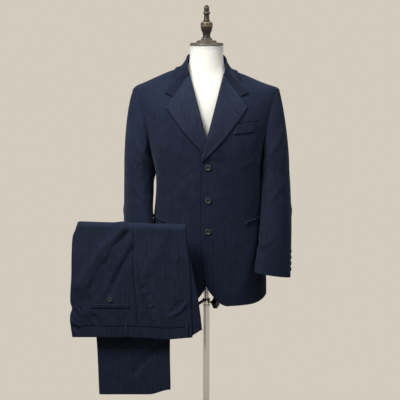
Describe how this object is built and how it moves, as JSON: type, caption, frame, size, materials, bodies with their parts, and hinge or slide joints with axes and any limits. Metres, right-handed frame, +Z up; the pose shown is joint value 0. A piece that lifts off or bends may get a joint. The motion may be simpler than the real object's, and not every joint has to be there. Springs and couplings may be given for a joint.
{
  "type": "two-piece suit on a dress form with stand and trouser bar",
  "caption": "Tailored jacket worn by a limbless dress form on a pole stand, with its trousers folded over a bar in front.",
  "frame": {"origin": "centre of the base's underside, on the axis of the pole", "axes": "+Z up along the pole, -Y the front of the suit, +X the wearer's left"},
  "size_m": [0.7234, 0.4218, 1.7331],
  "materials": {
    "navy_wool": "smooth worsted wool, a faint sheen at a low angle",
    "navy_lapel": "smooth worsted wool, a little lighter where it faces up",
    "button": "dark grey horn-like, polished rim",
    "form_linen": "smooth cream linen",
    "dark_bronze": "dark patina with worn, lighter edges",
    "chrome": "polished",
    "black_steel": "satin black",
    "black_plastic": "satin black",
    "base_steel": "fine brushed"
  },
  "bodies": {
    "stand": {"stand_base": "base_steel", "lower_pole": "chrome", "lock_collar": "chrome"},
    "knob": {"lock_knob": "black_plastic"},
    "suit": {"arm_clamp": "black_steel", "back_pocket_button_left": "button", "back_pocket_button_right": "button", "back_pocket_left": "navy_wool", "back_pocket_right": "navy_wool", "belt_loop_left_1": "navy_wool", "belt_loop_left_2": "navy_wool", "belt_loop_right_1": "navy_wool", "belt_loop_right_2": "navy_wool", "chest_welt": "navy_wool", "cuff_button_left_1": "button", "cuff_button_left_2": "button", "cuff_button_left_3": "button", "cuff_button_left_4": "button", "cuff_button_right_1": "button", "cuff_button_right_2": "button", "cuff_button_right_3": "button", "cuff_button_right_4": "button", "dress_form": "form_linen", "finial": "dark_bronze", "form_socket": "chrome", "front_button_1": "button", "front_button_2": "button", "front_button_3": "button", "hip_pocket_left": "navy_wool", "hip_pocket_right": "navy_wool", "jacket_back_left": "navy_wool", "jacket_back_right": "navy_wool", "jacket_collar": "navy_lapel", "jacket_front_left": "navy_wool", "jacket_front_right": "navy_wool", "jacket_side_left": "navy_wool", "jacket_side_right": "navy_wool", "lapel_left": "navy_lapel", "lapel_right": "navy_lapel", "neck_cap": "dark_bronze", "slant_pocket_left": "navy_wool", "slant_pocket_right": "navy_wool", "sleeve_top_left": "navy_wool", "sleeve_top_right": "navy_wool", "sleeve_under_left": "navy_wool", "sleeve_under_right": "navy_wool", "trouser_arm": "black_steel", "trouser_hidden_layers": "navy_wool", "trouser_left_back": "navy_wool", "trouser_left_front": "navy_wool", "trouser_right_back": "navy_wool", "trouser_right_front": "navy_wool", "upper_pole": "chrome", "waistband_left": "navy_wool", "waistband_right": "navy_wool"}
  },
  "joints": [
    {"name": "height_slide", "type": "slide", "parent": "stand", "child": "suit", "axis": [0, 0, 1], "range_m": [0, 0.25]},
    {"name": "lock_knob_turn", "type": "hinge", "parent": "stand", "child": "knob", "pos_m": [0, 0, 0.737], "axis": [0.9, -0.436, 0], "range_deg": [0, 360]}
  ]
}
